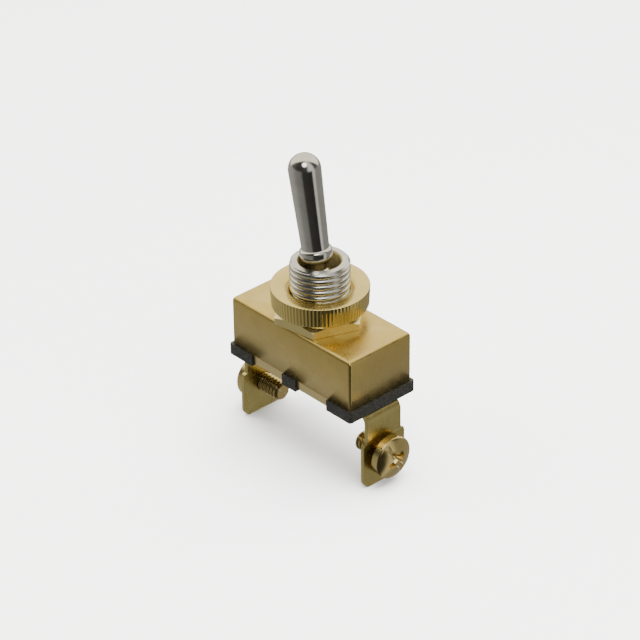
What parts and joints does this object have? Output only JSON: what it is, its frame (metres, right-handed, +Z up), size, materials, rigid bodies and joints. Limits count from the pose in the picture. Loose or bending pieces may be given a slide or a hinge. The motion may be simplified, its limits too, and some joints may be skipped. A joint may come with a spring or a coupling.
{
  "type": "panel toggle switch",
  "caption": "Panel toggle switch with a leaning round lever, threaded stem, hex and knurled nuts, brass case, moulded base and screw terminals.",
  "frame": {"origin": "on the stem's axis, in the plane of the case's top face", "axes": "+X along the case towards the fixed contact's terminal, +Y across the case, +Z up along the stem; the lever rests leaning towards -X"},
  "size_m": [0.0438, 0.0196, 0.0644],
  "materials": {
    "case_brass": "satin drawn sheet",
    "nut_brass": "turned, lightly polished",
    "terminal_brass": "stamped sheet",
    "screw_brass": "cold headed",
    "nickel": "bright nickel plate",
    "phenolic": "moulded phenolic",
    "steel": "drawn wire",
    "copper": "stamped copper alloy",
    "silver": "silver contact",
    "fibre": "vulcanised fibre"
  },
  "bodies": {
    "housing": {"case_shell": "case_brass", "base": "phenolic", "stem": "nickel", "hex_nut": "nut_brass", "fixed_button": "silver", "fixed_strip": "terminal_brass", "common_strip": "terminal_brass", "fulcrum_bracket": "terminal_brass", "fulcrum_rivet": "copper", "terminal_rivets": "copper", "terminal_line": "terminal_brass", "terminal_load": "terminal_brass", "insulating_liner": "fibre", "rest_stop": "fibre"},
    "lever": {"lever": "nickel", "pivot_pin": "steel", "plunger_spring": "steel"},
    "plunger": {"plunger": "fibre"},
    "rocker": {"rocker": "copper", "rocker_button": "silver"},
    "round_nut": {"round_nut": "nut_brass"},
    "screw_line": {"screw_line": "screw_brass"},
    "screw_load": {"screw_load": "screw_brass"}
  },
  "joints": [
    {"name": "lever_tilt", "type": "hinge", "parent": "housing", "child": "lever", "pos_m": [0, 0, 0.0075], "axis": [0, 1, 0], "range_deg": [0, 19.2]},
    {"name": "rocker_tilt", "type": "hinge", "parent": "housing", "child": "rocker", "pos_m": [0, 0, -0.0086], "axis": [0, 1, 0], "range_deg": [-16, 0]},
    {"name": "plunger_slide", "type": "slide", "parent": "lever", "child": "plunger", "axis": [-0.1668, 0, 0.986], "range_m": [0, 0.0008], "stiffness_N_per_m": 500, "deforming": ["plunger_spring"]},
    {"name": "round_nut_travel", "type": "slide", "parent": "housing", "child": "round_nut", "axis": [0, 0, 1], "range_m": [0, 0.005]},
    {"name": "screw_line_travel", "type": "slide", "parent": "housing", "child": "screw_line", "axis": [1, 0, 0], "range_m": [-0.0007, 0.003]},
    {"name": "screw_load_travel", "type": "slide", "parent": "housing", "child": "screw_load", "axis": [-1, 0, 0], "range_m": [-0.0007, 0.003]}
  ],
  "couplings": [
    {"joint": "rocker_tilt", "follows": "lever_tilt", "ratio": -0.83333}
  ]
}
